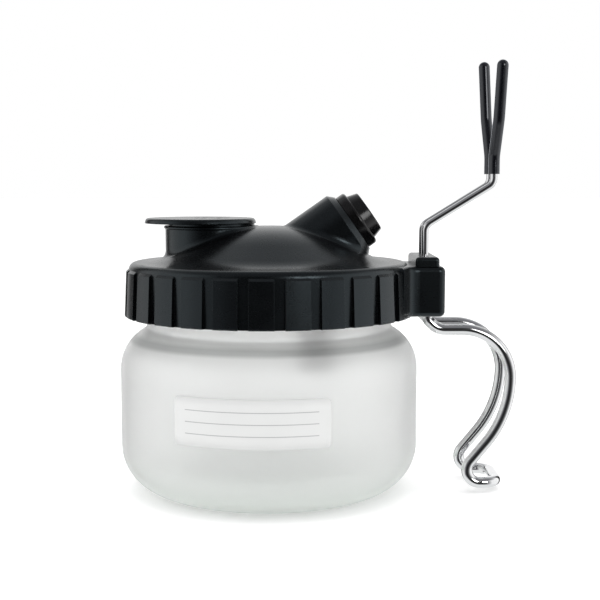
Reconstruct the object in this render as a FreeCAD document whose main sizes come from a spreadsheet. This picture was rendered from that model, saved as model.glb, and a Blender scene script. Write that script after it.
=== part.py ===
import FreeCAD, Part
import math
import os

import Sketcher
from FreeCAD import Placement, Rotation, Vector

# Airbrush cleaning pot: a glass jar with a screw lid that carries a filter vent, an angled
# port for the airbrush and a wire holder. Millimetres. The origin is the centre of the
# jar's base, +Z is up, +X runs towards the holder block, and -Y is the front.

doc = FreeCAD.newDocument("CleaningPot")
sheet = doc.addObject("Spreadsheet::Sheet", "Sizes")
sheet.Label = "Sizes"

DIMENSIONS = {
    # Jar
    "jar_radius": 44.0,
    "jar_wall": 3.2,
    "jar_floor_height": 5.0,
    "jar_shoulder_height": 43.55,
    "neck_foot_height": 48.56,
    "inner_shoulder_height": 39.8,
    "inner_neck_foot_height": 47.2,
    "jar_shoulder_round": 13.0,
    "jar_heel_round": 14.0,
    "jar_foot_radius": 25.0,
    "jar_foot_round": 1.0,
    "jar_push_up": 1.5,
    "jar_push_up_slope": 3.0,
    "inner_shoulder_round": 9.0,
    "inner_heel_round": 11.0,
    "inner_neck_foot_round": 2.0,
    "neck_radius": 36.2,
    "neck_foot_round": 1.5,
    "neck_bore_radius": 33.2,
    "rim_height": 64.4,
    "rim_round": 1.2,
    # Thread
    "thread_pitch": 5.0,
    "thread_turns": 1.25,
    "thread_depth": 1.5,
    "thread_foot_width": 2.4,
    "thread_crest_width": 1.0,
    "jar_thread_start": 55.6,
    "lid_thread_drop": 1.9,
    # Label
    "label_width": 44.0,
    "label_height": 13.4,
    "label_bottom": 20.6,
    "label_angle": -5.2,
    "label_thickness": 0.25,
    # Gasket
    "gasket_bore_radius": 33.0,
    "gasket_radius": 37.6,
    "gasket_thickness": 1.2,
    # Lid collar
    "collar_bottom": 52.0,
    "collar_bottom_radius": 42.7,
    "collar_bottom_round": 0.5,
    "collar_rib_top": 65.1,
    "collar_rib_top_radius": 42.1,
    "collar_core_radius": 41.3,
    "collar_top": 67.7,
    "collar_round": 2.0,
    "collar_rib_bevel": 0.7,
    "skirt_bore_radius": 38.4,
    "groove_count": 27.0,
    "groove_width": 3.0,
    "groove_start_angle": 8.7,
    # Lid dome
    "dome_top": 78.1,
    "dome_top_radius": 14.3,
    "dome_foot_radius": 33.2,
    "dome_top_round": 39.0,
    "dome_foot_round": 15.6,
    "dome_wall": 2.2,
    "ledge_round": 0.6,
    "cavity_foot_radius": 32.5,
    "cavity_foot_round": 2.0,
    "cavity_top_radius": 13.7,
    # Vent neck
    "vent_x": -17.0,
    "vent_radius": 13.6,
    "vent_bore_radius": 11.4,
    "vent_ledge_radius": 9.4,
    "vent_bottom": 66.5,
    "vent_ledge_height": 68.5,
    "vent_top": 78.3,
    "vent_bead": 0.4,
    "vent_bead_height": 1.1,
    "vent_blend_round": 2.5,
    # Filters
    "grid_radius": 11.2,
    "grid_thickness": 1.5,
    "grid_hole_radius": 1.5,
    "grid_ring_radius": 6.2,
    "grid_hole_count": 8.0,
    "pad_radius": 11.1,
    "pad_thickness": 3.0,
    # Filter cap
    "cap_x": -20.25,
    "cap_radius": 16.5,
    "cap_bottom": 79.0,
    "cap_bottom_round": 0.2,
    "cap_top": 80.5,
    "cap_edge_slope": 0.5,
    "cap_edge_round": 0.9,
    "cap_step_radius": 12.7,
    "cap_plug_radius": 11.33,
    "cap_plug_wall": 1.4,
    "cap_plug_bottom": 76.05,
    "cap_hole_radius": 1.1,
    "cap_hole_ring_radius": 4.2,
    "cap_hole_count": 6.0,
    # Angled port
    "port_rise": 35.0,
    "port_face_x": 24.63,
    "port_face_z": 79.06,
    "port_radius": 10.8,
    "port_length": 18.0,
    "port_spare_length": 6.0,
    "port_trim_reach": 9.0,
    "port_seat_radius": 5.9,
    "port_seat_depth": 4.5,
    "port_duct_radius": 5.34,
    "port_edge_bevel": 1.7,
    "port_blend_round": 2.5,
    # Grommet
    "grommet_stem_radius": 5.84,
    "grommet_stem_length": 4.3,
    "grommet_stem_round": 0.5,
    "grommet_flange_radius": 8.7,
    "grommet_flange_thickness": 3.0,
    "grommet_flange_back_round": 0.3,
    "grommet_flange_front_round": 0.8,
    "grommet_nose_foot_radius": 7.3,
    "grommet_nose_end_radius": 6.3,
    "grommet_nose_length": 3.2,
    "grommet_nose_round": 0.5,
    "grommet_bore_radius": 4.0,
    "grommet_bore_round": 0.4,
    # Downpipe
    "pipe_radius": 5.3,
    "pipe_bore_radius": 4.1,
    "pipe_x": 14.4,
    "pipe_bottom": 36.0,
    "pipe_bend": 8.0,
    "pipe_seat_gap": 0.1,
    # Holder block
    "block_end_x": 51.0,
    "block_half_width": 13.0,
    "block_bottom": 52.4,
    "block_top": 66.9,
    "block_edge_round": 1.5,
    "block_corner_round": 1.8,
    "block_blend_round": 4.0,
    "block_blend_x": 41.05,
    "block_root_x": 38.7,
    "block_root_half_width": 18.05,
    "block_root_taper": 1.0,
    "block_inner_x": 33.0,
    # Plug with the fork wire's two legs
    "plug_x": 45.85,
    "plug_head_length": 6.9,
    "plug_head_width": 24.8,
    "plug_head_height": 2.7,
    "plug_head_round": 1.0,
    "plug_stem_length": 5.6,
    "plug_stem_width": 11.6,
    "plug_stem_depth": 5.5,
    "plug_clearance": 0.1,
    "plug_socket_floor": 55.4,
    # Fork
    "fork_wire_radius": 1.0,
    "fork_leg_spacing": 8.0,
    "fork_turn_height": 61.0,
    "fork_hole_clearance": 0.04,
    "sleeve_radius": 1.65,
    "sleeve_bore_clearance": 0.04,
    # Handle loop
    "loop_wire_radius": 1.65,
    "loop_spacing": 18.0,
    "loop_leg_x": 46.2,
    "loop_leg_top": 63.4,
    "loop_socket_top": 63.8,
    "loop_socket_clearance": 0.03,
}

for row, (alias, number) in enumerate(DIMENSIONS.items(), start=1):
    sheet.set(f"A{row}", alias)
    sheet.set(f"B{row}", str(number))
    sheet.setAlias(f"B{row}", alias)
doc.recompute()

# How far a cutting tool runs past what it cuts, the length of one that only has to be long,
# how far joined shapes overlap, and how near a point is to a surface to count as on it.
PAST = 1.0
LONG_TOOL = 20.0
OVERLAP = 0.5
ON_SURFACE = 0.02


class Size:
    """A size from the sheet, or one worked out from several: its formula and its value."""

    def __init__(self, formula, value):
        self.formula = formula
        self.value = value

    def combine(self, sign, other, value):
        other = as_size(other)
        return Size(f"({self.formula} {sign} {other.formula})", value(self.value, other.value))

    def __add__(self, other):
        return self.combine("+", other, lambda a, b: a + b)

    def __sub__(self, other):
        return self.combine("-", other, lambda a, b: a - b)

    def __mul__(self, other):
        return self.combine("*", other, lambda a, b: a * b)

    def __truediv__(self, other):
        return self.combine("/", other, lambda a, b: a / b)

    def __neg__(self):
        return Size(f"(0 - {self.formula})", -self.value)


def as_size(number):
    """A Size as it is, or a plain number as a Size."""
    return number if isinstance(number, Size) else Size(f"{number:.6g}", float(number))


def size(alias):
    """The named cell of the sheet."""
    return Size(f"Sizes.{alias}", float(sheet.get(alias)))


def bind(thing, **sizes):
    """Tie each named property of a document object to its size's formula."""
    for name, amount in sizes.items():
        thing.setExpression(name, as_size(amount).formula)


def place(thing, x=0.0, y=0.0, z=0.0, rotation=None):
    """Place a document object at a point whose coordinates follow the sheet."""
    x, y, z = as_size(x), as_size(y), as_size(z)
    thing.Placement = Placement(Vector(x.value, y.value, z.value), rotation or Rotation())
    thing.setExpression("Placement.Base.x", x.formula)
    thing.setExpression("Placement.Base.y", y.formula)
    thing.setExpression("Placement.Base.z", z.formula)


# ---------------------------------------------------------------- sketches and bodies


def new_body(name):
    """A PartDesign body."""
    body = doc.addObject("PartDesign::Body", name)
    body.Label = name
    return body


def origin_plane(body, role):
    """One of the body's own origin planes."""
    return next(item for item in body.Origin.OriginFeatures if item.Role == role)


def new_sketch(body, name, role):
    """An empty sketch on one of the body's origin planes."""
    sketch = body.newObject("Sketcher::SketchObject", name)
    sketch.AttachmentSupport = [(origin_plane(body, role), "")]
    sketch.MapMode = "FlatFace"
    return sketch


def constrain(sketch, amount, *terms):
    """Add a dimension to the sketch and tie it to its size."""
    amount = as_size(amount)
    index = sketch.addConstraint(Sketcher.Constraint(*terms, amount.value))
    sketch.setExpression(f"Constraints[{index}]", amount.formula)


def corner_cut(before, corner, after, radius):
    """Where a round of this radius leaves the two sides of a corner, and the arc's middle."""
    to_before = (before - corner).normalize()
    to_after = (after - corner).normalize()
    half_angle = to_before.getAngle(to_after) / 2.0
    setback = radius / math.tan(half_angle)
    middle_way = (to_before + to_after).normalize()
    middle = corner + middle_way * (radius / math.sin(half_angle) - radius)
    return corner + to_before * setback, middle, corner + to_after * setback


def draw_outline(sketch, corners):
    """A closed outline through (x, y, round) corners, each tied to the sheet."""
    points = [Vector(as_size(x).value, as_size(y).value, 0) for x, y, _ in corners]
    count = len(corners)
    leaves, arcs, enters = [], [], []
    for index, (_, _, rounding) in enumerate(corners):
        point = points[index]
        if rounding is None:
            leaves.append(point)
            enters.append(point)
            arcs.append(None)
            continue
        first, middle, last = corner_cut(
            points[index - 1], point, points[(index + 1) % count], as_size(rounding).value
        )
        enters.append(first)
        leaves.append(last)
        arcs.append(Part.Arc(first, middle, last))

    lines = [
        sketch.addGeometry(Part.LineSegment(leaves[index], enters[(index + 1) % count]), False)
        for index in range(count)
    ]
    start, end, middle_point = 1, 2, 3
    for index, (x, y, rounding) in enumerate(corners):
        line_in, line_out = lines[index - 1], lines[index]
        if rounding is None:
            sketch.addConstraint(Sketcher.Constraint("Coincident", line_in, end, line_out, start))
            constrain(sketch, x, "DistanceX", -1, 1, line_out, start)
            constrain(sketch, y, "DistanceY", -1, 1, line_out, start)
            continue
        arc = sketch.addGeometry(arcs[index], False)
        first_of_arc = sketch.getPoint(arc, start)
        forward = (first_of_arc - enters[index]).Length < (first_of_arc - leaves[index]).Length
        arc_in, arc_out = (start, end) if forward else (end, start)
        sketch.addConstraint(Sketcher.Constraint("Tangent", line_in, end, arc, arc_in))
        sketch.addConstraint(Sketcher.Constraint("Tangent", arc, arc_out, line_out, start))
        constrain(sketch, rounding, "Radius", arc)
        corner = sketch.addGeometry(Part.Point(points[index]), True)
        sketch.addConstraint(Sketcher.Constraint("PointOnObject", corner, 1, line_in))
        sketch.addConstraint(Sketcher.Constraint("PointOnObject", corner, 1, line_out))
        constrain(sketch, x, "DistanceX", -1, 1, corner, 1)
        constrain(sketch, y, "DistanceY", -1, 1, corner, 1)


def revolve_outline(body, name, corners, kind="PartDesign::Revolution"):
    """Turn an (r, z, round) outline about the body's Z axis, to add or to cut."""
    sketch = new_sketch(body, f"{name}_outline", "XZ_Plane")
    draw_outline(sketch, corners)
    feature = body.newObject(kind, name)
    feature.Profile = sketch
    feature.ReferenceAxis = (sketch, ["V_Axis"])
    feature.Angle = 360.0
    body.Tip = feature
    return feature


def turned_body(name, corners):
    """A body that is one turned outline."""
    body = new_body(name)
    revolve_outline(body, f"{name}_turning", corners)
    return body


# ---------------------------------------------------------------- primitives and booleans


def cylinder(name, radius, height, **spot):
    """An upright Part cylinder."""
    shape = doc.addObject("Part::Cylinder", name)
    bind(shape, Radius=radius, Height=height)
    place(shape, **spot)
    return shape


def box(name, length, width, height, **spot):
    """A Part box."""
    shape = doc.addObject("Part::Box", name)
    bind(shape, Length=length, Width=width, Height=height)
    place(shape, **spot)
    return shape


def fuse(name, shapes):
    """One Part fusion of several shapes."""
    feature = doc.addObject("Part::MultiFuse", name)
    feature.Shapes = shapes
    feature.Refine = True
    feature.Label = name
    return feature


def cut(name, base, tool):
    """A Part cut of one shape by another."""
    feature = doc.addObject("Part::Cut", name)
    feature.Base = base
    feature.Tool = tool
    feature.Refine = True
    feature.Label = name
    return feature


def rounded(name, base, radius, is_round_edge):
    """A Part fillet on the edges whose sampled points all pass the test."""
    doc.recompute()
    samples = (0.1, 0.5, 0.9)
    chosen = []
    for index, edge in enumerate(base.Shape.Edges, start=1):
        span = edge.LastParameter - edge.FirstParameter
        if all(is_round_edge(edge.valueAt(edge.FirstParameter + span * part)) for part in samples):
            chosen.append((index, radius.value, radius.value))
    feature = doc.addObject("Part::Fillet", name)
    feature.Base = base
    feature.Edges = chosen
    return feature


def ring_of_holes(name, count, ring_radius, hole_radius, x, bottom, height):
    """Upright cylinders on a circle about an upright axis at x, one of them in the middle."""
    drills = [cylinder(f"{name}_centre", hole_radius, height, x=x, z=bottom)]
    for index in range(int(count.value)):
        angle = Size(f"({index} * 360 / {count.formula})", index * 360.0 / count.value)
        drill_x = x + ring_radius * Size(
            f"cos({angle.formula} * 1deg)", math.cos(math.radians(angle.value))
        )
        drill_y = ring_radius * Size(
            f"sin({angle.formula} * 1deg)", math.sin(math.radians(angle.value))
        )
        drills.append(cylinder(f"{name}_{index + 1}", hole_radius, height, x=drill_x, y=drill_y, z=bottom))
    return fuse(name, drills)


def bent_path(points, radii):
    """Straight runs through points, joined at the inner points by arcs of the given radii."""
    edges = []
    run_start = points[0]
    for index, radius in enumerate(radii, start=1):
        first, middle, last = corner_cut(points[index - 1], points[index], points[index + 1], radius)
        edges.append(Part.LineSegment(run_start, first).toShape())
        edges.append(Part.Arc(first, middle, last).toShape())
        run_start = last
    edges.append(Part.LineSegment(run_start, points[-1]).toShape())
    return Part.Wire(edges)


def round_bar(path, radius):
    """A round bar along a path, closed at both ends."""
    first = path.Edges[0]
    start = first.Vertexes[0].Point
    section = Part.Wire([Part.makeCircle(radius, start, first.tangentAt(first.FirstParameter))])
    return path.makePipeShell([section], True, False)


def shape_feature(name, shape):
    """A part whose shape is set directly from the sheet's sizes."""
    feature = doc.addObject("Part::Feature", name)
    feature.Label = name
    feature.Shape = shape
    feature.Placement = Placement()
    return feature


def thread_ridge(name, root_radius, bottom, outward):
    """A right-hand helical ridge on a wall, with a trapezoid section sunk a little into the wall."""
    pitch = size("thread_pitch").value
    turns = size("thread_turns").value
    depth = size("thread_depth").value
    foot = size("thread_foot_width").value / 2.0
    crest = size("thread_crest_width").value / 2.0
    sunk = 0.3
    side = 1.0 if outward else -1.0
    helix = Part.makeHelix(pitch, pitch * turns, root_radius)
    helix.translate(Vector(0, 0, bottom))
    corners = [
        Vector(root_radius - side * sunk, 0, bottom - foot),
        Vector(root_radius, 0, bottom - foot),
        Vector(root_radius + side * depth, 0, bottom - crest),
        Vector(root_radius + side * depth, 0, bottom + crest),
        Vector(root_radius, 0, bottom + foot),
        Vector(root_radius - side * sunk, 0, bottom + foot),
    ]
    section = Part.makePolygon(corners + corners[:1])
    return shape_feature(name, Part.Wire(helix).makePipeShell([section], True, True))


# ---------------------------------------------------------------- jar


def make_glass_jar():
    """Frosted jar: round heel and shoulder, straight side, neck with a thread, pushed-up base."""
    inner = size("jar_radius") - size("jar_wall")
    foot = size("jar_foot_radius")
    outline = [
        (0, size("jar_push_up"), None),
        (foot - size("jar_push_up_slope"), size("jar_push_up"), size("jar_foot_round")),
        (foot, 0, size("jar_foot_round")),
        (size("jar_radius"), 0, size("jar_heel_round")),
        (size("jar_radius"), size("jar_shoulder_height"), size("jar_shoulder_round")),
        (size("neck_radius"), size("neck_foot_height"), size("neck_foot_round")),
        (size("neck_radius"), size("rim_height"), size("rim_round")),
        (size("neck_bore_radius"), size("rim_height"), size("rim_round")),
        (size("neck_bore_radius"), size("inner_neck_foot_height"), size("inner_neck_foot_round")),
        (inner, size("inner_shoulder_height"), size("inner_shoulder_round")),
        (inner, size("jar_floor_height"), size("inner_heel_round")),
        (0, size("jar_floor_height"), None),
    ]
    glass = turned_body("jar_glass", outline)
    ridge = thread_ridge(
        "jar_thread", size("neck_radius").value, size("jar_thread_start").value, outward=True
    )
    return fuse("glass_jar", [glass, ridge])


def make_jar_label():
    """Thin curved label on the front of the jar's straight side."""
    radius = size("jar_radius")
    thickness = size("label_thickness")
    half_angle = size("label_width") / radius * (90.0 / math.pi)
    sector = doc.addObject("Part::Cylinder", "label_sector")
    bind(sector, Radius=radius + thickness, Height=size("label_height"), Angle=half_angle * 2)
    start = size("label_angle").value - 90.0 - half_angle.value
    place(sector, z=size("label_bottom"), rotation=Rotation(Vector(0, 0, 1), start))
    core_height = size("label_height") + 2 * PAST
    core = cylinder("label_core", radius, core_height, z=size("label_bottom") - PAST)
    return cut("jar_label", sector, core)


def make_lid_gasket():
    """Flat foam ring on the glass rim."""
    bottom = size("rim_height")
    top = bottom + size("gasket_thickness")
    return turned_body(
        "lid_gasket",
        [
            (size("gasket_bore_radius"), bottom, None),
            (size("gasket_radius"), bottom, None),
            (size("gasket_radius"), top, None),
            (size("gasket_bore_radius"), top, None),
        ],
    )


# ---------------------------------------------------------------- lid


def port_axis():
    """Unit vector along the port, from inside the pot to outside."""
    rise = math.radians(size("port_rise").value)
    return Vector(math.cos(rise), 0, math.sin(rise))


def port_point(distance):
    """Point on the port's axis, measured outwards from the boss's end face."""
    face = Vector(size("port_face_x").value, 0, size("port_face_z").value)
    return face + port_axis() * distance


def along_port(thing, outward):
    """Stand a Part primitive on the port's axis, its foot this far out from the boss's end face."""
    rise = size("port_rise")
    run_x = Size(f"cos({rise.formula} * 1deg)", port_axis().x)
    run_z = Size(f"sin({rise.formula} * 1deg)", port_axis().z)
    outward = as_size(outward)
    turn = Rotation(Vector(0, 0, 1), port_axis())
    place(
        thing,
        x=size("port_face_x") + outward * run_x,
        z=size("port_face_z") + outward * run_z,
        rotation=turn,
    )
    return thing


def port_cylinder(name, radius, outward, length):
    """A cylinder on the port's axis."""
    shape = doc.addObject("Part::Cylinder", name)
    bind(shape, Radius=radius, Height=length)
    return along_port(shape, outward)


def make_port_trim():
    """Tool that squares the boss off at its end face and bevels the edge."""
    face = size("port_radius") - size("port_edge_bevel")
    reach = size("port_trim_reach")
    body = turned_body(
        "port_trim",
        [
            (0, 0, None),
            (face, 0, None),
            (face + reach, -reach, None),
            (face + reach, size("port_spare_length") + PAST, None),
            (0, size("port_spare_length") + PAST, None),
        ],
    )
    return along_port(body, 0.0)


def is_on_vent_neck(point):
    """True on the neck's outer wall, below its bead and above the lid's hollow."""
    distance = math.hypot(point.x - size("vent_x").value, point.y)
    below_bead = size("vent_top").value - size("vent_bead_height").value
    on_wall = abs(distance - size("vent_radius").value) < ON_SURFACE
    return on_wall and size("collar_top").value < point.z < below_bead


def is_on_port_boss(point):
    """True on the boss's round side, where it meets the lid."""
    offset = point - port_point(0)
    outward = offset.dot(port_axis())
    distance = (offset - port_axis() * outward).Length
    on_side = abs(distance - size("port_radius").value) < ON_SURFACE
    return on_side and outward < size("port_spare_length").value - PAST


def make_lid_blank():
    """Solid of the collar and dome, its rim cut into ribs by upright grooves."""
    body = turned_body(
        "lid_blank",
        [
            (0, size("collar_bottom"), None),
            (size("collar_bottom_radius"), size("collar_bottom"), size("collar_bottom_round")),
            (size("collar_rib_top_radius"), size("collar_rib_top"), None),
            (size("collar_core_radius"), size("collar_rib_top") + size("collar_rib_bevel"), None),
            (size("collar_core_radius"), size("collar_top"), size("collar_round")),
            (size("dome_foot_radius"), size("collar_top"), size("dome_foot_round")),
            (size("dome_top_radius"), size("dome_top"), size("dome_top_round")),
            (0, size("dome_top"), None),
        ],
    )
    sketch = new_sketch(body, "groove_outline", "XY_Plane")
    inner = size("collar_core_radius")
    outer = size("collar_bottom_radius") + PAST
    half = size("groove_width") / 2
    draw_outline(
        sketch,
        [
            (inner, -half, None),
            (outer, -half, None),
            (outer, half, None),
            (inner, half, None),
        ],
    )
    groove = body.newObject("PartDesign::Pocket", "groove")
    groove.Profile = sketch
    groove.Reversed = True
    bind(groove, Length=size("collar_rib_top") + size("collar_rib_bevel"))
    body.Tip = groove
    doc.recompute()
    pattern = body.newObject("PartDesign::PolarPattern", "grooves")
    pattern.Originals = [groove]
    pattern.Axis = (sketch, ["N_Axis"])
    pattern.Angle = 360.0
    bind(pattern, Occurrences=size("groove_count"))
    body.Tip = pattern
    body.Placement = Placement(Vector(), Rotation(Vector(0, 0, 1), size("groove_start_angle").value))
    return body


def make_holder_block():
    """Block on the collar's side that holds the wires, blended into the collar."""
    body = new_body("holder_block")
    sketch = new_sketch(body, "block_outline", "XY_Plane")
    half = size("block_half_width")
    corner = size("block_corner_round")
    blend = size("block_blend_round")
    root = size("block_root_half_width")
    inner = root - size("block_root_taper")
    draw_outline(
        sketch,
        [
            (size("block_inner_x"), -inner, None),
            (size("block_root_x"), -root, None),
            (size("block_blend_x"), -half, blend),
            (size("block_end_x"), -half, corner),
            (size("block_end_x"), half, corner),
            (size("block_blend_x"), half, blend),
            (size("block_root_x"), root, None),
            (size("block_inner_x"), inner, None),
        ],
    )
    pad = body.newObject("PartDesign::Pad", "block_pad")
    pad.Profile = sketch
    bind(pad, Length=size("block_top") - size("block_bottom"))
    body.Tip = pad
    doc.recompute()
    faces = pad.Shape.Faces
    ends = [f"Face{i + 1}" for i, face in enumerate(faces) if abs(face.normalAt(0, 0).z) > 0.99]
    rounds = body.newObject("PartDesign::Fillet", "block_rounds")
    rounds.Base = (pad, ends)
    bind(rounds, Radius=size("block_edge_round"))
    body.Tip = rounds
    place(body, z=size("block_bottom"))
    return body


def make_lid_cavity():
    """The lid's hollow: the skirt's bore, the ledge over the glass rim and the inside of the dome."""
    ceiling = size("rim_height") + size("gasket_thickness")
    inner_top = size("dome_top") - size("dome_wall")
    return turned_body(
        "lid_cavity",
        [
            (0, size("collar_bottom") - PAST, None),
            (size("skirt_bore_radius"), size("collar_bottom") - PAST, None),
            (size("skirt_bore_radius"), ceiling, size("ledge_round")),
            (size("cavity_foot_radius"), ceiling, size("cavity_foot_round")),
            (size("cavity_top_radius"), inner_top, size("dome_top_round") - size("dome_wall")),
            (0, inner_top, None),
        ],
    )


def make_screw_lid():
    """The moulded lid: collar, dome, vent neck, port boss and holder block."""
    neck_height = size("vent_top") - size("vent_bottom")
    neck = cylinder(
        "vent_neck", size("vent_radius"), neck_height, x=size("vent_x"), z=size("vent_bottom")
    )
    domed = fuse("lid_dome_and_neck", [make_lid_blank(), neck])
    neck_blended = rounded("lid_neck_blend", domed, size("vent_blend_round"), is_on_vent_neck)
    boss_length = size("port_length") + size("port_spare_length")
    boss = port_cylinder("port_boss", size("port_radius"), -size("port_length"), boss_length)
    bossed = fuse("lid_with_boss", [neck_blended, boss])
    boss_blended = rounded("lid_boss_blend", bossed, size("port_blend_round"), is_on_port_boss)
    boss_trimmed = cut("lid_boss_trimmed", boss_blended, make_port_trim())
    bead_radius = size("vent_radius") + size("vent_bead")
    bead = turned_body(
        "vent_bead",
        [
            (size("vent_bore_radius"), -size("vent_bead_height"), None),
            (size("vent_radius") - size("vent_bead") / 2, -size("vent_bead_height"), None),
            (bead_radius, -(size("vent_bead_height") - size("vent_bead")), None),
            (bead_radius, 0, size("vent_bead")),
            (size("vent_bore_radius"), 0, None),
        ],
    )
    place(bead, x=size("vent_x"), z=size("vent_top"))
    outside = fuse("lid_outside", [boss_trimmed, neck_blended, bead, make_holder_block()])
    shell = cut("lid_shell", outside, make_lid_cavity())
    inner_neck = cylinder(
        "vent_inner_neck", size("vent_radius"), neck_height, x=size("vent_x"), z=size("vent_bottom")
    )
    ridge_bottom = size("jar_thread_start").value - size("lid_thread_drop").value
    ridge = thread_ridge("lid_thread", size("skirt_bore_radius").value, ridge_bottom, outward=False)
    moulding = fuse("lid_moulding", [shell, inner_neck, ridge])

    vent_bore = cylinder(
        "vent_bore", size("vent_bore_radius"), LONG_TOOL, x=size("vent_x"), z=size("vent_ledge_height")
    )
    vent_ledge = cylinder(
        "vent_ledge", size("vent_ledge_radius"), LONG_TOOL, x=size("vent_x"), z=size("vent_bottom") - PAST
    )
    seat = port_cylinder("port_seat", size("port_seat_radius"), -size("port_seat_depth"), LONG_TOOL)
    duct = port_cylinder("port_duct", size("port_duct_radius"), -size("port_length"), size("port_length"))
    stem_width = size("plug_stem_width") + size("plug_clearance") * 2
    stem_length = size("plug_stem_length") + size("plug_clearance") * 2
    socket = box(
        "plug_socket",
        stem_length,
        stem_width,
        LONG_TOOL,
        x=size("plug_x") - stem_length / 2,
        y=-(stem_width / 2),
        z=size("plug_socket_floor"),
    )
    loop_holes = [
        cylinder(
            f"loop_hole_{side}",
            size("loop_wire_radius") + size("loop_socket_clearance"),
            size("loop_socket_top") - size("block_bottom") + PAST,
            x=size("loop_leg_x"),
            y=size("loop_spacing") / 2 * sign,
            z=size("block_bottom") - PAST,
        )
        for side, sign in (("front", -1), ("back", 1))
    ]
    openings = fuse("lid_openings", [vent_bore, vent_ledge, seat, duct, socket] + loop_holes)
    return cut("screw_lid", moulding, openings)


# ---------------------------------------------------------------- vent filter


def make_filter_grid():
    """Perforated disc on the ledge at the bottom of the vent neck."""
    bottom = size("vent_ledge_height")
    disc = cylinder("grid_disc", size("grid_radius"), size("grid_thickness"), x=size("vent_x"), z=bottom)
    holes = ring_of_holes(
        "grid_holes",
        size("grid_hole_count"),
        size("grid_ring_radius"),
        size("grid_hole_radius"),
        size("vent_x"),
        bottom - PAST,
        size("grid_thickness") + 2 * PAST,
    )
    return cut("filter_grid", disc, holes)


def make_filter_pads():
    """Two felt discs on the grid."""
    bottom = size("vent_ledge_height") + size("grid_thickness")
    pads = []
    for index, name in enumerate(("lower_filter_pad", "upper_filter_pad")):
        pad = cylinder(
            name,
            size("pad_radius"),
            size("pad_thickness"),
            x=size("vent_x"),
            z=bottom + size("pad_thickness") * index,
        )
        pad.Label = name
        pads.append(pad)
    return pads


def make_filter_cap():
    """Thin round cap with a hollow plug; the plug is off centre, which leaves a thumb lip."""
    flange = turned_body(
        "cap_flange",
        [
            (0, size("cap_bottom"), None),
            (size("cap_radius"), size("cap_bottom"), size("cap_bottom_round")),
            (size("cap_radius") - size("cap_edge_slope"), size("cap_top"), size("cap_edge_round")),
            (0, size("cap_top"), None),
        ],
    )
    place(flange, x=size("cap_x"))
    depth = size("cap_bottom") - size("cap_plug_bottom") + OVERLAP
    plug = cylinder("cap_plug", size("cap_plug_radius"), depth, x=size("vent_x"), z=size("cap_plug_bottom"))
    step = cylinder(
        "cap_step",
        size("cap_step_radius"),
        size("cap_bottom") - size("vent_top") + OVERLAP,
        x=size("vent_x"),
        z=size("vent_top"),
    )
    hollow = cylinder(
        "cap_plug_bore",
        size("cap_plug_radius") - size("cap_plug_wall"),
        size("cap_bottom") - size("cap_plug_bottom") + PAST,
        x=size("vent_x"),
        z=size("cap_plug_bottom") - PAST,
    )
    holes = ring_of_holes(
        "cap_holes",
        size("cap_hole_count"),
        size("cap_hole_ring_radius"),
        size("cap_hole_radius"),
        size("vent_x"),
        size("cap_bottom") - PAST,
        size("cap_top") - size("cap_bottom") + 2 * PAST,
    )
    solid = fuse("cap_solid", [flange, step, plug])
    return cut("filter_cap", solid, fuse("cap_openings", [hollow, holes]))


# ---------------------------------------------------------------- port


def make_port_grommet():
    """Rubber grommet: stem in the boss, flange on its face, tapered nose, bore for the airbrush."""
    stem = size("grommet_stem_length")
    flange = size("grommet_flange_thickness")
    nose = size("grommet_nose_length")
    bore = size("grommet_bore_radius")
    body = turned_body(
        "port_grommet",
        [
            (bore, -stem, None),
            (size("grommet_stem_radius"), -stem, size("grommet_stem_round")),
            (size("grommet_stem_radius"), 0, None),
            (size("grommet_flange_radius"), 0, size("grommet_flange_back_round")),
            (size("grommet_flange_radius"), flange, size("grommet_flange_front_round")),
            (size("grommet_nose_foot_radius"), flange, None),
            (size("grommet_nose_end_radius"), flange + nose, size("grommet_nose_round")),
            (bore, flange + nose, size("grommet_bore_round")),
        ],
    )
    return along_port(body, 0.0)


def make_spray_downpipe():
    """Elbow tube from the port's duct down into the jar."""
    top = port_point(-(size("port_seat_depth") + size("pipe_seat_gap")).value)
    corner_distance = (size("pipe_x").value - size("port_face_x").value) / port_axis().x
    corner = port_point(corner_distance)
    bottom = Vector(size("pipe_x").value, 0, size("pipe_bottom").value)
    path = bent_path([top, corner, bottom], [size("pipe_bend").value])
    outside = round_bar(path, size("pipe_radius").value)
    inside = round_bar(path, size("pipe_bore_radius").value)
    return shape_feature("spray_downpipe", outside.cut(inside))


# ---------------------------------------------------------------- holder


def make_holder_plug():
    """Plug in the block's socket, with a rounded head and two holes for the fork's legs."""
    x = size("plug_x")
    head_bottom = size("block_top")
    head = box(
        "plug_head_block",
        size("plug_head_length"),
        size("plug_head_width"),
        size("plug_head_height"),
        x=x - size("plug_head_length") / 2,
        y=-(size("plug_head_width") / 2),
        z=head_bottom,
    )
    rounds = rounded(
        "plug_head", head, size("plug_head_round"), lambda point: point.z > head_bottom.value + ON_SURFACE
    )
    stem = box(
        "plug_stem",
        size("plug_stem_length"),
        size("plug_stem_width"),
        size("plug_stem_depth") + OVERLAP,
        x=x - size("plug_stem_length") / 2,
        y=-(size("plug_stem_width") / 2),
        z=head_bottom - size("plug_stem_depth"),
    )
    legs = [
        cylinder(
            f"plug_hole_{side}",
            size("fork_wire_radius") + size("fork_hole_clearance"),
            LONG_TOOL,
            x=x,
            y=size("fork_leg_spacing") / 2 * sign,
            z=head_bottom - LONG_TOOL / 2,
        )
        for side, sign in (("front", -1), ("back", 1))
    ]
    return cut("holder_plug", fuse("plug_solid", [rounds, stem]), fuse("plug_holes", legs))


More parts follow.
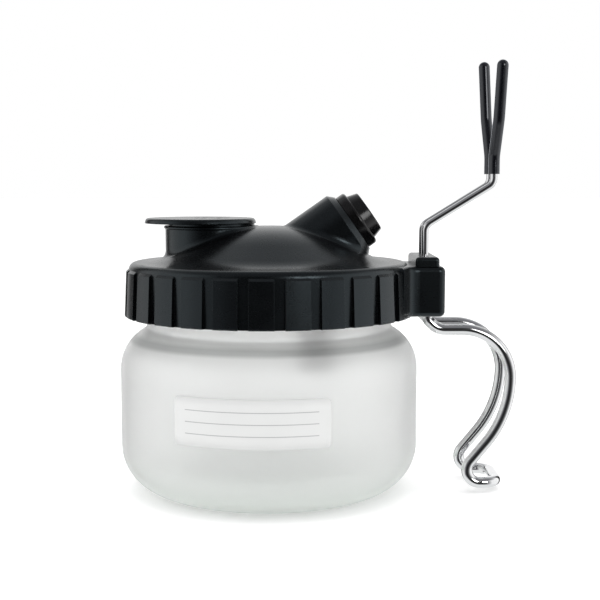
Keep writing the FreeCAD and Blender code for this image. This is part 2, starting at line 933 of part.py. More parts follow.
# Points of one prong above its leg: x, distance from the middle plane, z, and the bend there.
# The prongs run up and out as a crank, stand upright, then spread and straighten into a fork.
CRANK = [(45.85, 4.0, 78.3, 3.0), (65.75, 3.9, 90.6, 3.0)]
FRONT_SPREAD = [(65.75, 3.9, 98.4, 7.0), (66.4, 7.5, 109.2, 12.0), (67.0, 8.8, 124.2, None)]
BACK_SPREAD = [(65.75, 3.9, 98.6, 7.0), (65.05, 7.5, 109.4, 12.0), (64.4, 8.8, 125.2, None)]
SLEEVE_FOOT = 93.4

# The U's bends are a little tighter than half its width, so that a short straight run joins them.
TURN_BEND_SHARE = 0.98


def prong_points(spread, side):
    """The prong's points on one side, -1 in front and +1 behind, with their bends."""
    rows = CRANK + spread
    return [Vector(x, side * y, z) for x, y, z, _ in rows], [bend for _, _, _, bend in rows]


def make_fork_wire():
    """One wire: up the front prong's tip, down its leg, round a U below the plug, up the back one."""
    front, front_bends = prong_points(FRONT_SPREAD, -1)
    back, back_bends = prong_points(BACK_SPREAD, 1)
    turn = size("fork_leg_spacing").value / 2
    turn_z = size("fork_turn_height").value - turn
    x = size("plug_x").value
    points = front[::-1] + [Vector(x, -turn, turn_z), Vector(x, turn, turn_z)] + back
    turn_bend = turn * TURN_BEND_SHARE
    bends = front_bends[:-1][::-1] + [turn_bend, turn_bend] + back_bends[:-1]
    return shape_feature("fork_wire", round_bar(bent_path(points, bends), size("fork_wire_radius").value))


def make_fork_sleeve(name, spread, side):
    """Soft sleeve over a prong's end, with a domed tip."""
    points, bends = prong_points(spread, side)
    points, bends = points[len(CRANK):], bends[len(CRANK):-1]
    foot = Vector(points[0].x, points[0].y, SLEEVE_FOOT)
    radius = size("sleeve_radius").value
    bore_radius = size("fork_wire_radius").value + size("sleeve_bore_clearance").value
    path = bent_path([foot] + points, bends)
    skin = round_bar(path, radius).fuse(Part.makeSphere(radius, points[-1]))
    return shape_feature(name, skin.cut(round_bar(path, bore_radius)).removeSplitter())


# Corners of the loop's side view, x and z, with the bend at each: out of the block, out to the
# right, down round the handle, back in, and round the hook to the foot.
LOOP_SIDE = [(46.2, 51.4, 2.5), (49.2, 48.4, 5.0), (70.7, 48.4, 14.2), (70.7, 23.2, 31.0), (54.1, 2.9, 3.8)]
LOOP_FOOT = (67.35, 2.9, 4.6)


def make_handle_loop():
    """Thick wire bent double: two sides, from the block down to a foot that joins them."""
    half = size("loop_spacing").value / 2
    side_points = [(size("loop_leg_x").value, size("loop_leg_top").value)] + [(x, z) for x, z, _ in LOOP_SIDE]
    side_points.append(LOOP_FOOT[:2])
    front = [Vector(x, -half, z) for x, z in side_points]
    back = [Vector(x, half, z) for x, z in side_points]
    side_bends = [bend for _, _, bend in LOOP_SIDE] + [LOOP_FOOT[2]]
    path = bent_path(front + back[::-1], side_bends + side_bends[::-1])
    return shape_feature("handle_loop", round_bar(path, size("loop_wire_radius").value))


# ---------------------------------------------------------------- build, check and write

parts = [
    make_glass_jar(),
    make_jar_label(),
    make_lid_gasket(),
    make_screw_lid(),
    make_filter_grid(),
    *make_filter_pads(),
    make_filter_cap(),
    make_port_grommet(),
    make_spray_downpipe(),
    make_holder_plug(),
    make_fork_wire(),
    make_fork_sleeve("fork_sleeve_front", FRONT_SPREAD, -1),
    make_fork_sleeve("fork_sleeve_back", BACK_SPREAD, 1),
    make_handle_loop(),
]
doc.recompute()

for thing in doc.Objects:
    if "Invalid" in thing.State or "Error" in thing.State:
        raise RuntimeError(f"{thing.Name} did not build: {thing.State}")
for part in parts:
    if part.Shape.isNull() or not part.Shape.isValid():
        raise RuntimeError(f"{part.Label} has no valid shape")
    if len(part.Shape.Solids) != 1:
        raise RuntimeError(f"{part.Label} has {len(part.Shape.Solids)} solids")

os.makedirs("parts", exist_ok=True)
for part in parts:
    part.Shape.exportStep(f"parts/{part.Label}.step")
    print(f"{part.Label:20s} {part.Shape.Volume:10.1f} mm3")
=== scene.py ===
import math

import bmesh
import bpy
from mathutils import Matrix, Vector, noise


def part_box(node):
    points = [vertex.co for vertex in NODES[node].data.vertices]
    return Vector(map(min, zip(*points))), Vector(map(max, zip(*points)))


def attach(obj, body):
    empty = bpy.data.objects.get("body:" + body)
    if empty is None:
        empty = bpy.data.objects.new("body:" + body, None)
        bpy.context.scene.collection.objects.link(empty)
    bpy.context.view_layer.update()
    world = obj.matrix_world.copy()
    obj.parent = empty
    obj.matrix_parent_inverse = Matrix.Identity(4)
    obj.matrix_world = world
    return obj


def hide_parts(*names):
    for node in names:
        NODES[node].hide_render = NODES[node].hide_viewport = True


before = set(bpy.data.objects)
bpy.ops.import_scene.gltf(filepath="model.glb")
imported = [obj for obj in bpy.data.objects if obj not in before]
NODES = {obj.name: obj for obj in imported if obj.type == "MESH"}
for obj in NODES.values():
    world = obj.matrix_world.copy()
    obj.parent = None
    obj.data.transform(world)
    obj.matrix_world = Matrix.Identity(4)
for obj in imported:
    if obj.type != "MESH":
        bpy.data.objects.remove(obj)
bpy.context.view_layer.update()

MM = 0.001


# ---------------------------------------------------------------- shader nodes

EDGE_SAMPLES = 6


class NodeTree:
    """Adds nodes to a tree. A value is the output of a node, a number or a colour."""

    def __init__(self, owner):
        owner.use_nodes = True
        self.nodes, self.links = owner.node_tree.nodes, owner.node_tree.links

    def feed(self, socket, value):
        if isinstance(value, bpy.types.NodeSocket):
            self.links.new(value, socket)
        else:
            socket.default_value = value

    def node(self, kind, inputs, **settings):
        made = self.nodes.new(kind)
        for key, value in settings.items():
            setattr(made, key, value)
        for socket, value in inputs.items():
            self.feed(made.inputs[socket], value)
        return made

    def span(self, value, low, high, start=0.0, end=1.0):
        """Goes from low to high as the value goes from start to end."""
        sockets = {"Value": value, "From Min": start, "From Max": end, "To Min": low, "To Max": high}
        return self.node("ShaderNodeMapRange", sockets).outputs[0]

    def math(self, operation, first, second):
        return self.node("ShaderNodeMath", {0: first, 1: second}, operation=operation).outputs[0]

    def blend(self, amount, first, second):
        """Goes from the first colour to the second as the amount goes from 0 to 1."""
        made = self.node("ShaderNodeMix", {"Factor": amount}, data_type="RGBA")
        sockets = [socket for socket in made.inputs if socket.type == "RGBA"]
        for socket, colour in zip(sockets, (first, second)):
            self.feed(socket, (*colour, 1.0) if isinstance(colour, tuple) else colour)
        return next(socket for socket in made.outputs if socket.type == "RGBA")

    def ramp(self, value, stops):
        """Colour from stops of (position, colour)."""
        made = self.node("ShaderNodeValToRGB", {"Fac": value})
        elements = made.color_ramp.elements
        while len(elements) < len(stops):
            elements.new(1.0)
        for element, (position, colour) in zip(elements, stops):
            element.position = position
            element.color = (*colour, 1.0)
        return made.outputs["Color"]


class Finish(NodeTree):
    """A material on the Principled shader, with patterns in the piece's own coordinates."""

    def __init__(self, name, **constants):
        self.material = bpy.data.materials.new(name)
        super().__init__(self.material)
        self.shader = self.nodes["Principled BSDF"]
        self.place = self.node("ShaderNodeTexCoord", {}).outputs["Object"]
        for socket, value in constants.items():
            self.shader.inputs[socket.replace("_", " ")].default_value = value

    def join(self, socket, value):
        self.links.new(value, self.shader.inputs[socket])

    def height(self):
        return self.node("ShaderNodeSeparateXYZ", {"Vector": self.place}).outputs["Z"]

    def grain(self, size, detail=2.0, stretch=None, distortion=0.0):
        """Noise from 0 to 1 whose grains are about size metres across."""
        place = self.place
        if stretch:
            place = self.node("ShaderNodeMapping", {"Vector": place, "Scale": stretch}).outputs[0]
        sockets = {"Vector": place, "Scale": 1.0 / size, "Detail": detail, "Distortion": distortion}
        return self.node("ShaderNodeTexNoise", sockets).outputs["Fac"]

    def cells(self, size):
        """Distance from the middle of cells that are about size metres across."""
        sockets = {"Vector": self.place, "Scale": 1.0 / size}
        return self.node("ShaderNodeTexVoronoi", sockets).outputs["Distance"]

    def bump(self, height, depth, under=None):
        sockets = {"Height": height, "Distance": depth, "Strength": 1.0}
        if under:
            sockets["Normal"] = under
        return self.node("ShaderNodeBump", sockets).outputs["Normal"]

    def soft_edges(self, radius):
        """Normals that run round the sharp edges as if each had this radius."""
        return self.node("ShaderNodeBevel", {"Radius": radius}, samples=EDGE_SAMPLES).outputs["Normal"]


# ---------------------------------------------------------------- materials

# The jar's tint with a band of painted shade below the neck, and its painted glow, by shares of the
# height of its body.
SHADED_HEIGHT = 50 * MM
GLASS_TINT_AND_SHADE = (
    (0.00, (0.86, 0.91, 0.87)),
    (0.14, (0.91, 0.93, 0.915)),
    (0.30, (0.925, 0.93, 0.925)),
    (0.66, (0.935, 0.94, 0.935)),
    (0.885, (0.96, 0.965, 0.96)),
    # Painted shade: a grey band round the bend below the neck, where the dark lid's shade falls through
    # the glass.
    (0.905, (0.46, 0.47, 0.465)),
    (0.925, (0.46, 0.47, 0.465)),
    (0.945, (0.97, 0.975, 0.97)),
)
# Painted glow: emission that brightens the glass most at its foot and a little towards the neck.
PAINTED_GLASS_GLOW = (
    (0.00, (0.95, 1.00, 0.94)),
    (0.12, (0.60, 0.63, 0.60)),
    (0.34, (0.20, 0.20, 0.20)),
    (0.60, (0.12, 0.12, 0.12)),
    (0.76, (0.24, 0.24, 0.24)),
    (0.89, (0.16, 0.16, 0.16)),
    (0.93, (0.10, 0.10, 0.10)),
    (0.97, (0.50, 0.50, 0.50)),
)


def frosted_glass():
    """Etched glass, a little greener at its foot, with a grey band of painted shade round the bend below
    the neck and a painted glow that is strongest at its foot.
    """
    finish = Finish(
        "frosted_glass_etched",
        Transmission_Weight=0.74,
        IOR=1.46,
        Specular_IOR_Level=0.30,
        Emission_Strength=0.06,
    )
    clouds = finish.grain(18 * MM, detail=3.0)
    etch = finish.grain(0.35 * MM, detail=4.0)
    share = finish.span(finish.height(), 0.0, 1.0, 0.0, SHADED_HEIGHT)
    tint_and_shade = finish.ramp(share, GLASS_TINT_AND_SHADE)
    finish.join("Base Color", finish.blend(finish.span(clouds, 0.0, 0.10), tint_and_shade, (0.98, 0.985, 0.98)))
    # Painted light: the glass emits its own glow by height.
    finish.join("Emission Color", finish.ramp(share, PAINTED_GLASS_GLOW))
    finish.join("Roughness", finish.span(clouds, 0.31, 0.38))
    finish.join("Normal", finish.bump(etch, 0.03 * MM))
    return finish.material


def moulded_black(name, dark, light, smooth, rough):
    """Satin black plastic with the fine sparked texture of a mould, soft edges and light scuffs."""
    finish = Finish(name, IOR=1.5, Specular_Tint=(0.76, 0.92, 1.0, 1.0))
    flow = finish.grain(9 * MM, detail=3.0, distortion=0.6)
    spark = finish.grain(0.22 * MM, detail=3.0)
    scratches = finish.grain(1.2 * MM, detail=5.0, stretch=(1.0, 1.0, 5.0))
    scuffs = finish.math("MULTIPLY", finish.span(scratches, 0.0, 1.0, 0.62, 0.80), -0.05)
    finish.join("Base Color", finish.blend(flow, dark, light))
    finish.join("Roughness", finish.math("ADD", finish.span(flow, smooth, rough), scuffs))
    finish.join("Normal", finish.bump(spark, 0.006 * MM, finish.soft_edges(0.15 * MM)))
    return finish.material


def chrome():
    finish = Finish("chrome_plate", Metallic=1.0, IOR=2.2)
    haze = finish.grain(4 * MM, detail=4.0)
    lines = finish.grain(0.25 * MM, detail=4.0, stretch=(1.0, 1.0, 0.12))
    finish.join("Base Color", finish.blend(haze, (0.80, 0.81, 0.82), (0.90, 0.90, 0.905)))
    finish.join("Roughness", finish.span(haze, 0.05, 0.11))
    finish.join("Normal", finish.bump(lines, 0.0015 * MM))
    return finish.material


def dipped_vinyl():
    """Glossy vinyl with a few long runs from its dip."""
    finish = Finish(
        "dipped_vinyl",
        IOR=1.5,
        Coat_Weight=0.6,
        Coat_Roughness=0.10,
        Coat_Tint=(0.80, 0.88, 1.0, 1.0),
    )
    runs = finish.grain(3.5 * MM, detail=2.0, stretch=(1.0, 1.0, 0.35))
    peel = finish.grain(0.7 * MM, detail=1.0)
    finish.join("Base Color", finish.blend(runs, (0.0016, 0.0016, 0.0026), (0.0040, 0.0040, 0.0060)))
    finish.join("Roughness", finish.span(runs, 0.14, 0.22))
    finish.join("Normal", finish.bump(peel, 0.02 * MM, finish.bump(runs, 0.08 * MM)))
    return finish.material


def rubber():
    finish = Finish("black_rubber_moulded", IOR=1.5)
    bloom = finish.grain(5 * MM, detail=4.0)
    skin = finish.grain(0.3 * MM, detail=2.0)
    finish.join("Base Color", finish.blend(bloom, (0.0016, 0.0015, 0.0016), (0.0032, 0.0030, 0.0032)))
    finish.join("Roughness", finish.span(bloom, 0.16, 0.22))
    finish.join("Normal", finish.bump(skin, 0.008 * MM))
    return finish.material


def pipe_plastic():
    finish = Finish("pipe_plastic_smooth", IOR=1.5)
    flow = finish.grain(6 * MM, detail=3.0, stretch=(1.0, 1.0, 0.3))
    finish.join("Base Color", finish.blend(flow, (0.010, 0.010, 0.011), (0.020, 0.020, 0.022)))
    finish.join("Roughness", finish.span(flow, 0.30, 0.42))
    finish.join("Normal", finish.bump(finish.grain(0.4 * MM), 0.01 * MM))
    return finish.material


def felt():
    finish = Finish("felt_fibres", Sheen_Weight=0.4, Sheen_Roughness=0.5, Specular_IOR_Level=0.2)
    tufts = finish.grain(0.9 * MM, detail=5.0, distortion=1.5)
    fibres = finish.grain(0.16 * MM, detail=4.0, distortion=3.0)
    finish.join("Base Color", finish.blend(tufts, (0.16, 0.16, 0.165), (0.34, 0.34, 0.345)))
    finish.join("Roughness", finish.span(fibres, 0.82, 0.98))
    finish.join("Normal", finish.bump(fibres, 0.12 * MM, finish.bump(tufts, 0.25 * MM)))
    return finish.material


def foam():
    finish = Finish("closed_cell_foam", Specular_IOR_Level=0.3)
    pores = finish.cells(0.35 * MM)
    shade = finish.grain(2.5 * MM, detail=3.0)
    finish.join("Base Color", finish.blend(shade, (0.50, 0.50, 0.49), (0.66, 0.66, 0.65)))
    finish.join("Roughness", finish.span(pores, 0.70, 0.92))
    finish.join("Normal", finish.bump(pores, 0.08 * MM))
    return finish.material


def label_film():
    finish = Finish("label_film_matt", IOR=1.46)
    pulp = finish.grain(0.25 * MM, detail=4.0, stretch=(0.5, 0.5, 1.0))
    soft = finish.grain(7 * MM, detail=2.0)
    finish.join("Base Color", finish.blend(soft, (0.650, 0.655, 0.650), (0.680, 0.685, 0.680)))
    finish.join("Roughness", finish.span(pulp, 0.42, 0.55))
    finish.join("Normal", finish.bump(pulp, 0.004 * MM))
    return finish.material


def label_ink():
    finish = Finish("label_ink_grey", IOR=1.46)
    press = finish.grain(0.2 * MM, detail=3.0)
    finish.join("Base Color", finish.blend(press, (0.34, 0.34, 0.35), (0.42, 0.42, 0.43)))
    finish.join("Roughness", finish.span(press, 0.35, 0.5))
    return finish.material


def floor_paint():
    finish = Finish(
        "pale_floor",
        Specular_IOR_Level=0.05,
        Emission_Color=(1, 1, 1, 1),
        Emission_Strength=0.22,
    )
    speck = finish.grain(40 * MM, detail=3.0)
    finish.join("Base Color", finish.blend(speck, (0.90, 0.90, 0.90), (0.92, 0.92, 0.92)))
    finish.join("Roughness", finish.span(speck, 0.75, 0.85))
    return finish.material


# ---------------------------------------------------------------- meshes, in millimetres

SAME_POINT = 1e-5
ON_AXIS = 1e-6
FEWEST_STEPS, EXTRA_STEPS = 4, 3


def new_piece(name, mesh_data, material, body, node):
    """A piece that rides on the body and stands for the CAD node."""
    piece = bpy.data.objects.new(name, mesh_data)
    bpy.context.scene.collection.objects.link(piece)
    mesh_data.materials.append(material)
    for polygon in mesh_data.polygons:
        polygon.use_smooth = True
    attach(piece, body)
    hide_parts(node)
    return piece


def finished_mesh(name, mesh):
    """Mesh data from a bmesh, with the faces of a closed one turned outwards."""
    bmesh.ops.recalc_face_normals(mesh, faces=mesh.faces)
    data = bpy.data.meshes.new(name)
    mesh.to_mesh(data)
    mesh.free()
    return data


def short_runs(first, last, count):
    """Points that cut the run from first to last into count parts, without first."""
    return [first.lerp(last, k / count) for k in range(1, count + 1)]


def rounded_corner(before, here, after, bend, longest):
    """Points of the arc that rounds the corner at here, between the runs to before and after."""
    to_last = (before - here).normalized()
    to_next = (after - here).normalized()
    half = to_last.angle(to_next) / 2
    centre = here + (to_last + to_next).normalized() * (bend / math.sin(half))
    start = here + to_last * (bend / math.tan(half)) - centre
    turn = start.angle_signed(here + to_next * (bend / math.tan(half)) - centre)
    steps = max(FEWEST_STEPS, round(abs(turn) * bend / longest) + EXTRA_STEPS)
    points = []
    for k in range(steps + 1):
        angle = -turn * k / steps
        cosine, sine = math.cos(angle), math.sin(angle)
        spoke = (cosine * start.x - sine * start.y, sine * start.x + cosine * start.y)
        points.append(centre + Vector(spoke))
    return points


def rounded_outline(corners, longest):
    """Points of an outline of (radius, height, corner round), with no run between them over longest."""
    places = [Vector(corner[:2]) for corner in corners]
    bends = [corner[2] for corner in corners]
    points = []
    for i, (place, bend) in enumerate(zip(places, bends)):
        if bend:
            points += rounded_corner(places[i - 1], place, places[i + 1], bend, longest)
        else:
            points.append(place)
    outline = points[:1]
    for point in points[1:]:
        run = (point - outline[-1]).length
        if run > SAME_POINT:
            outline += short_runs(outline[-1], point, math.ceil(run / longest))
    return outline


def lathe(name, outline, segments, centre=(0.0, 0.0), shift=None, closed=False):
    """Turns an outline of (radius, height) about Z. Shift gives each point its own radius and height."""
    mesh = bmesh.new()
    rings = []
    for radius, height in outline:
        if radius < ON_AXIS:
            rings.append([mesh.verts.new((centre[0] * MM, centre[1] * MM, height * MM))])
            continue
        ring = []
        for k in range(segments):
            angle = 2 * math.pi * k / segments
            out, up = shift(radius, angle, height) if shift else (radius, height)
            x = centre[0] + out * math.cos(angle)
            y = centre[1] + out * math.sin(angle)
            ring.append(mesh.verts.new((x * MM, y * MM, up * MM)))
        rings.append(ring)
    pairs = list(zip(rings, rings[1:]))
    if closed:
        pairs.append((rings[-1], rings[0]))
    for lower, upper in pairs:
        for k in range(segments):
            j = (k + 1) % segments
            if len(lower) == 1:
                mesh.faces.new((lower[0], upper[j], upper[k]))
            elif len(upper) == 1:
                mesh.faces.new((lower[k], lower[j], upper[0]))
            else:
                mesh.faces.new((lower[k], lower[j], upper[j], upper[k]))
    return finished_mesh(name, mesh)


def eased(value, low, high):
    """Goes smoothly from 0 to 1 as the value goes from low to high."""
    share = max(0.0, min(1.0, (value - low) / (high - low)))
    return share * share * (3 - 2 * share)


def heights(node):
    """The bottom and top of a CAD node in millimetres."""
    low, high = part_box(node)
    return low.z / MM, high.z / MM


# ---------------------------------------------------------------- jar

# Radii.
JAR_OUTSIDE, JAR_INSIDE = 44.0, 40.8
NECK, MOUTH = 36.2, 33.2
PUSH_UP_EDGE, FOOT_RING = 22, 25

# Heights.
PUSH_UP, FLOOR = 1.5, 5.0
WALL_TOP, NECK_FOOT, RIM = 43.55, 48.56, 64.4
INNER_WALL_TOP, MOUTH_FOOT = 39.8, 47.2

JAR_SEGMENTS = 288
LONGEST_ROW, THREAD_ROW = 1.6, 0.4
ON_WALL = 0.01

# Half widths of the thread's ridge at its crest and its foot, and the part of a turn it runs out in.
THREAD_CREST, THREAD_FOOT = 0.5, 1.2
THREAD_RUN_OUT = 0.06
THREAD_START, THREAD_PITCH, THREAD_TURNS, THREAD_DEPTH = 55.6, 5.0, 1.25, 1.5
THREAD_LOWEST = 50.0


def with_thread(radius, angle, height):
    """Raises the neck's wall along the helix of the thread, with its two ends run out."""
    if abs(radius - NECK) > ON_WALL or height < THREAD_LOWEST:
        return radius, height
    raised = 0.0
    for lap in (0, 1):
        turn = angle / (2 * math.pi) + lap
        off = abs(height - THREAD_START - THREAD_PITCH * turn)
        section = 1 - eased(off, THREAD_CREST, THREAD_FOOT)
        ends = eased(turn, 0.0, THREAD_RUN_OUT) * eased(THREAD_TURNS - turn, 0.0, THREAD_RUN_OUT)
        raised = max(raised, THREAD_DEPTH * section * ends)
    return radius + raised, height


def with_fine_rows(outline):
    """Cuts the runs on the neck's wall into rows fine enough for the thread."""
    fine = outline[:1]
    for point in outline[1:]:
        on_wall = abs(point.x - NECK) < ON_WALL and abs(fine[-1].x - NECK) < ON_WALL
        count = math.ceil((point - fine[-1]).length / THREAD_ROW) if on_wall else 1
        fine += short_runs(fine[-1], point, count)
    return fine


def jar_mesh():
    """Outside and inside of the jar in one closed skin, from its pushed-up base to its floor."""
    outline = rounded_outline(
        [
            (0, PUSH_UP, 0),
            (PUSH_UP_EDGE, PUSH_UP, 1.0),
            (FOOT_RING, 0, 1.0),
            (JAR_OUTSIDE, 0, 14.0),
            (JAR_OUTSIDE, WALL_TOP, 13.0),
            (NECK, NECK_FOOT, 1.5),
            (NECK, RIM, 1.2),
            (MOUTH, RIM, 1.2),
            (MOUTH, MOUTH_FOOT, 2.0),
            (JAR_INSIDE, INNER_WALL_TOP, 9.0),
            (JAR_INSIDE, FLOOR, 11.0),
            (0, FLOOR, 0),
        ],
        LONGEST_ROW,
    )
    return lathe("jar_glass", with_fine_rows(outline), JAR_SEGMENTS, shift=with_thread)


new_piece("jar_glass", jar_mesh(), frosted_glass(), "jar", "glass_jar")


# ---------------------------------------------------------------- label

# Depths of the film's two faces below the face of the CAD label.
LABEL_INSET, LABEL_BACK = 0.02, 0.22
LABEL_CORNER, CORNER_STEPS = 1.2, 8
LABEL_STEPS = 60
RULE_WIDTH, RULE_MARGIN = 0.22, 3.5
RULE_HEIGHTS = (3.4, 6.6, 9.8)
DOUBLES = 1e-7


def label_mesh():
    """Thin film bent round the jar, with rounded corners and printed write-on rules."""
    low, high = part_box("jar_label")
    bottom, top = heights("jar_label")
    radius = (-low.y) / MM
    first, last = math.asin(low.x / MM / radius), math.asin(high.x / MM / radius)
    width = (last - first) * radius
    rules = [bottom + height for height in RULE_HEIGHTS]
    rows = sorted({bottom, top, *rules, *(z + RULE_WIDTH for z in rules)})
    ends = [LABEL_CORNER * k / CORNER_STEPS for k in range(CORNER_STEPS + 1)] + [RULE_MARGIN]
    straight = width - 2 * LABEL_CORNER
    middle = [LABEL_CORNER + straight * k / LABEL_STEPS for k in range(1, LABEL_STEPS)]
    columns = sorted({round(at, 4) for at in ends + [width - at for at in ends] + middle})

    mesh = bmesh.new()
    grid = {}
    for layer, skin in enumerate((radius - LABEL_INSET, radius - LABEL_BACK)):
        for i, along in enumerate(columns):
            near = min(along, width - along)
            squeeze = 0.0
            if near < LABEL_CORNER:
                inward = 1 - near / LABEL_CORNER
                squeeze = LABEL_CORNER * (1 - math.sqrt(max(0.0, 1 - inward ** 2)))
            angle = first + along / radius
            for j, z in enumerate(rows):
                height = max(bottom + squeeze, min(top - squeeze, z))
                place = (skin * math.sin(angle) * MM, -skin * math.cos(angle) * MM, height * MM)
                grid[layer, i, j] = mesh.verts.new(place)

    for i in range(len(columns) - 1):
        across = (columns[i] + columns[i + 1]) / 2
        for j in range(len(rows) - 1):
            up = (rows[j] + rows[j + 1]) / 2
            corners = [(i, j), (i + 1, j), (i + 1, j + 1), (i, j + 1)]
            front = mesh.faces.new([grid[0, a, b] for a, b in corners])
            mesh.faces.new([grid[1, a, b] for a, b in reversed(corners)])
            on_rule = any(z < up < z + RULE_WIDTH for z in rules)
            front.material_index = 1 if on_rule and RULE_MARGIN < across < width - RULE_MARGIN else 0

    right, upper = len(columns) - 1, len(rows) - 1
    edge = [(i, 0) for i in range(right + 1)]
    edge += [(right, j) for j in range(1, upper + 1)]
    edge += [(i, upper) for i in range(right - 1, -1, -1)]
    edge += [(0, j) for j in range(upper - 1, 0, -1)]
    for here, after in zip(edge, edge[1:] + edge[:1]):
        mesh.faces.new([grid[0, *after], grid[0, *here], grid[1, *here], grid[1, *after]])
    bmesh.ops.remove_doubles(mesh, verts=mesh.verts, dist=DOUBLES)
    return finished_mesh("write_on_label", mesh)


label = new_piece("write_on_label", label_mesh(), label_film(), "jar", "jar_label")
label.data.materials.append(label_ink())


# ---------------------------------------------------------------- soft pieces

GASKET_INSIDE, GASKET_MIDDLE, GASKET_OUTSIDE = 33.2, 35.3, 37.4
GASKET_GAP, GASKET_ROUND = 0.05, 0.35
FOAM_RIPPLE, FOAM_RIPPLES = 0.10, 9
FOAM_ROW, FOAM_SEGMENTS = 0.4, 240

# How deep the felt's noises go, and how many come to a millimetre.
FELT_LUMPS, FELT_TUFTS, FELT_FRAY = 0.10, 0.05, 0.12
LUMP_RATE, TUFT_RATE, FRAY_RATE = 0.9, 3.1, 2.2
FRAY_PLACE = Vector((5, 1, 9))

# Shares of the radius where the felt's flat face ends and where its edge starts to fray.
FELT_FLAT, FELT_FRAYED = 0.72, 0.8
FELT_SLOPE = 0.25
FELT_ROW, FELT_SEGMENTS = 0.35, 120


def foam_wave(radius, angle, height):
    at = Vector((math.cos(angle) * FOAM_RIPPLES, math.sin(angle) * FOAM_RIPPLES, height))
    return radius + FOAM_RIPPLE * noise.noise(at), height


def gasket_mesh():
    """Foam ring, with an underside that is lowest along its middle."""
    bottom, top = heights("lid_gasket")
    outline = rounded_outline(
        [
            (GASKET_MIDDLE, bottom, 0),
            (GASKET_OUTSIDE, bottom + GASKET_GAP, GASKET_ROUND),
            (GASKET_OUTSIDE, top - GASKET_GAP, GASKET_ROUND),
            (GASKET_INSIDE, top - GASKET_GAP, GASKET_ROUND),
            (GASKET_INSIDE, bottom + GASKET_GAP, 0),
        ],
        FOAM_ROW,
    )
    return lathe("foam_gasket", outline, FOAM_SEGMENTS, shift=foam_wave, closed=True)


gasket = new_piece("foam_gasket", gasket_mesh(), foam(), "lid_seal", "lid_gasket")


def felt_mesh(name, node):
    """Felt disc with lumpy faces that fall off towards a ragged rim."""
    low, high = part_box(node)
    middle = (low + high) / 2 / MM
    bottom, top = heights(node)
    rim = (high.x - low.x) / 2 / MM

    def felt_wave(radius, angle, height):
        at = Vector((radius * math.cos(angle), radius * math.sin(angle), height))
        lumps = noise.noise(at * LUMP_RATE) * FELT_LUMPS + noise.noise(at * TUFT_RATE) * FELT_TUFTS
        fray = noise.noise(at * FRAY_RATE + FRAY_PLACE) * FELT_FRAY
        fray *= eased(radius, rim * FELT_FRAYED, rim)
        inward = -1 if height > middle.z else 1
        return radius - abs(fray), height + inward * abs(lumps)

    outline = rounded_outline(
        [
            (0, bottom, 0),
            (rim * FELT_FLAT, bottom, 3.0),
            (rim, bottom + FELT_SLOPE, 0.7),
            (rim, top - FELT_SLOPE, 0.7),
            (rim * FELT_FLAT, top, 3.0),
            (0, top, 0),
        ],
        FELT_ROW,
    )
    return lathe(name, outline, FELT_SEGMENTS, (middle.x, middle.y), felt_wave)


felt_material = felt()
for level in ("lower", "upper"):
    name, node = f"felt_pad_{level}", f"{level}_filter_pad"
    pad = new_piece(name, felt_mesh(name, node), felt_material, "lid", node)


# ---------------------------------------------------------------- carried-over CAD nodes

lid_black = moulded_black(
    "lid_satin_black",
    dark=(0.0010, 0.0010, 0.0012),
    light=(0.0022, 0.0022, 0.0026),
    smooth=0.24,
    rough=0.31,
)
cap_black = moulded_black(
    "cap_satin_black",
    dark=(0.0012, 0.0012, 0.0014),
    light=(0.0024, 0.0024, 0.0028),
    smooth=0.22,
    rough=0.30,
)
grid_black = moulded_black(
    "grid_satin_black",
    dark=(0.0060, 0.0060, 0.0064),
    light=(0.0090, 0.0090, 0.0096),
    smooth=0.36,
    rough=0.46,
)
plug_black = moulded_black(
    "plug_satin_black",
    dark=(0.0010, 0.0010, 0.0012),
    light=(0.0022, 0.0022, 0.0024),
    smooth=0.23,
    rough=0.30,
)
chrome_plate = chrome()
vinyl = dipped_vinyl()

for node, material in (
    ("screw_lid", lid_black),
    ("filter_cap", cap_black),
    ("filter_grid", grid_black),
    ("holder_plug", plug_black),
    ("port_grommet", rubber()),
    ("spray_downpipe", pipe_plastic()),
    ("fork_wire", chrome_plate),
    ("handle_loop", chrome_plate),
    ("fork_sleeve_front", vinyl),
    ("fork_sleeve_back", vinyl),
):
    for index in range(len(NODES[node].data.materials)):
        NODES[node].data.materials[index] = material


# ---------------------------------------------------------------- floor and lights

FLOOR_RADIUS, FLOOR_RINGS, FLOOR_SEGMENTS = 6000, 12, 96


def studio_floor():
    outline = [(FLOOR_RADIUS * k / FLOOR_RINGS, 0.0) for k in range(FLOOR_RINGS + 1)]
    data = lathe("studio_floor", outline, FLOOR_SEGMENTS)
    data.materials.append(floor_paint())
    floor = bpy.data.objects.new("studio_floor", data)
    bpy.context.scene.collection.objects.link(floor)
    floor.visible_glossy = False


studio_floor()


def soft_light(name, place, aim, size, power, mirrored=False):
    """Area light that either lights the pieces or is only mirrored in them."""
    data = bpy.data.lights.new(name, "AREA")
    data.shape = "RECTANGLE"
    data.size, data.size_y = size
    data.energy = power
    light = bpy.data.objects.new(name, data)
    light.location = place
    light.rotation_euler = (Vector(aim) - Vector(place)).to_track_quat("-Z", "Y").to_euler()
    light.visible_glossy = mirrored
    light.visible_diffuse = not mirrored
    light.visible_transmission = not mirrored
    bpy.context.scene.collection.objects.link(light)


soft_light("top_softbox", place=(0.0, 0.05, 0.9), aim=(0, 0, 0.05), size=(0.9, 0.7), power=3)
soft_light("left_softbox", place=(-0.9, -0.15, 0.45), aim=(0, 0, 0.06), size=(0.5, 0.7), power=1.5)
soft_light("right_softbox", place=(0.9, -0.10, 0.40), aim=(0, 0, 0.06), size=(0.5, 0.7), power=1.5)
soft_light(
    "right_card",
    place=(0.49, -0.84, 0.34),
    aim=(0.03, 0, 0.08),
    size=(0.38, 0.38),
    power=2.0,
    mirrored=True,
)


# ---------------------------------------------------------------- world

WHITE = (1.0, 1.0, 1.0)
DARK = (0.010, 0.009, 0.010)

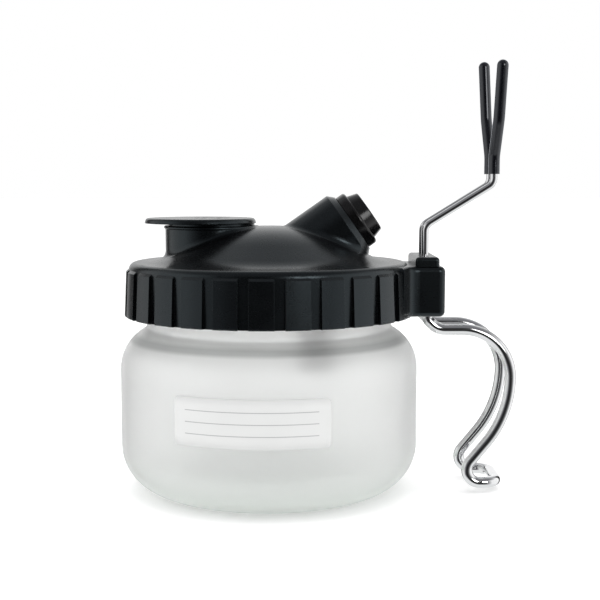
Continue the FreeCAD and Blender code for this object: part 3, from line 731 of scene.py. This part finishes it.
# Brightness round the horizon in reflections, by degrees from the front: a dark front with the
# camera in its middle, white sides, thin black flags behind each side, and a white back.
HORIZON = (
    (-180, WHITE),
    (-150, WHITE),
    (-144, DARK),
    (-130, DARK),
    (-122, (0.80, 0.80, 0.80)),
    (-66, (0.92, 0.92, 0.92)),
    (-46, (0.36, 0.36, 0.37)),
    (-28, (0.05, 0.05, 0.055)),
    (-9, (0.03, 0.03, 0.03)),
    (-6, DARK),
    (6, DARK),
    (9, (0.04, 0.04, 0.04)),
    (28, (0.07, 0.07, 0.07)),
    (46, (0.36, 0.36, 0.37)),
    (66, (0.98, 0.98, 0.98)),
    (122, (1.10, 1.10, 1.10)),
    (128, DARK),
    (144, DARK),
    (150, WHITE),
    (180, WHITE),
)

# The ceiling's colours, the share of the way back where the second is reached, and the sines of the
# angles up and down over which the horizon fades into the ceiling and the floor.
CEILING_FRONT, CEILING_BACK = (0.20, 0.20, 0.21), (0.50, 0.51, 0.52)
FULLY_BACK = 0.5
CEILING_STARTS, CEILING_FULL = 0.45, 0.75
BELOW = (0.85, 0.86, 0.86)
BELOW_STARTS, BELOW_FULL = -0.42, -0.62


def studio_world():
    """White for all but reflections, which show the horizon between a grey ceiling and a pale floor."""
    world = bpy.data.worlds.new("studio")
    bpy.context.scene.world = world
    sky = NodeTree(world)
    direction = sky.node("ShaderNodeTexCoord", {}).outputs["Generated"]
    axes = sky.node("ShaderNodeSeparateXYZ", {"Vector": direction}).outputs
    azimuth = sky.math("ARCTAN2", axes["X"], sky.math("MULTIPLY", axes["Y"], -1.0))
    stops = [(degrees / 360 + 0.5, colour) for degrees, colour in HORIZON]
    around = sky.ramp(sky.span(azimuth, 0.0, 1.0, -math.pi, math.pi), stops)
    ceiling = sky.blend(sky.span(axes["Y"], 0.0, 1.0, 0.0, FULLY_BACK), CEILING_FRONT, CEILING_BACK)
    over = sky.span(axes["Z"], 0.0, 1.0, CEILING_STARTS, CEILING_FULL)
    under = sky.span(axes["Z"], 0.0, 1.0, BELOW_STARTS, BELOW_FULL)
    pattern = sky.blend(under, sky.blend(over, around, ceiling), BELOW)
    mirrored = sky.node("ShaderNodeBackground", {"Color": pattern}).outputs[0]
    plain = sky.nodes["Background"]
    plain.inputs["Color"].default_value = (1, 1, 1, 1)
    plain.inputs["Strength"].default_value = 1.0
    glossy = sky.node("ShaderNodeLightPath", {}).outputs["Is Glossy Ray"]
    mix = sky.node("ShaderNodeMixShader", {"Fac": glossy, 1: plain.outputs[0], 2: mirrored})
    sky.links.new(mix.outputs[0], sky.nodes["World Output"].inputs["Surface"])


studio_world()


# ---------------------------------------------------------------- camera

CAMERA_PLACE = (0.0092, -0.350, 0.0912)
CAMERA_DIP = 5.73
LENS, SENSOR_WIDTH = 70.8, 36.0

camera_data = bpy.data.cameras.new("photo_camera")
camera_data.sensor_width = SENSOR_WIDTH
camera_data.lens = LENS
camera = bpy.data.objects.new("photo_camera", camera_data)
camera.location = CAMERA_PLACE
camera.rotation_euler = (math.radians(90 - CAMERA_DIP), 0, 0)
bpy.context.scene.collection.objects.link(camera)
bpy.context.scene.camera = camera
bpy.context.scene.view_settings.view_transform = "Standard"
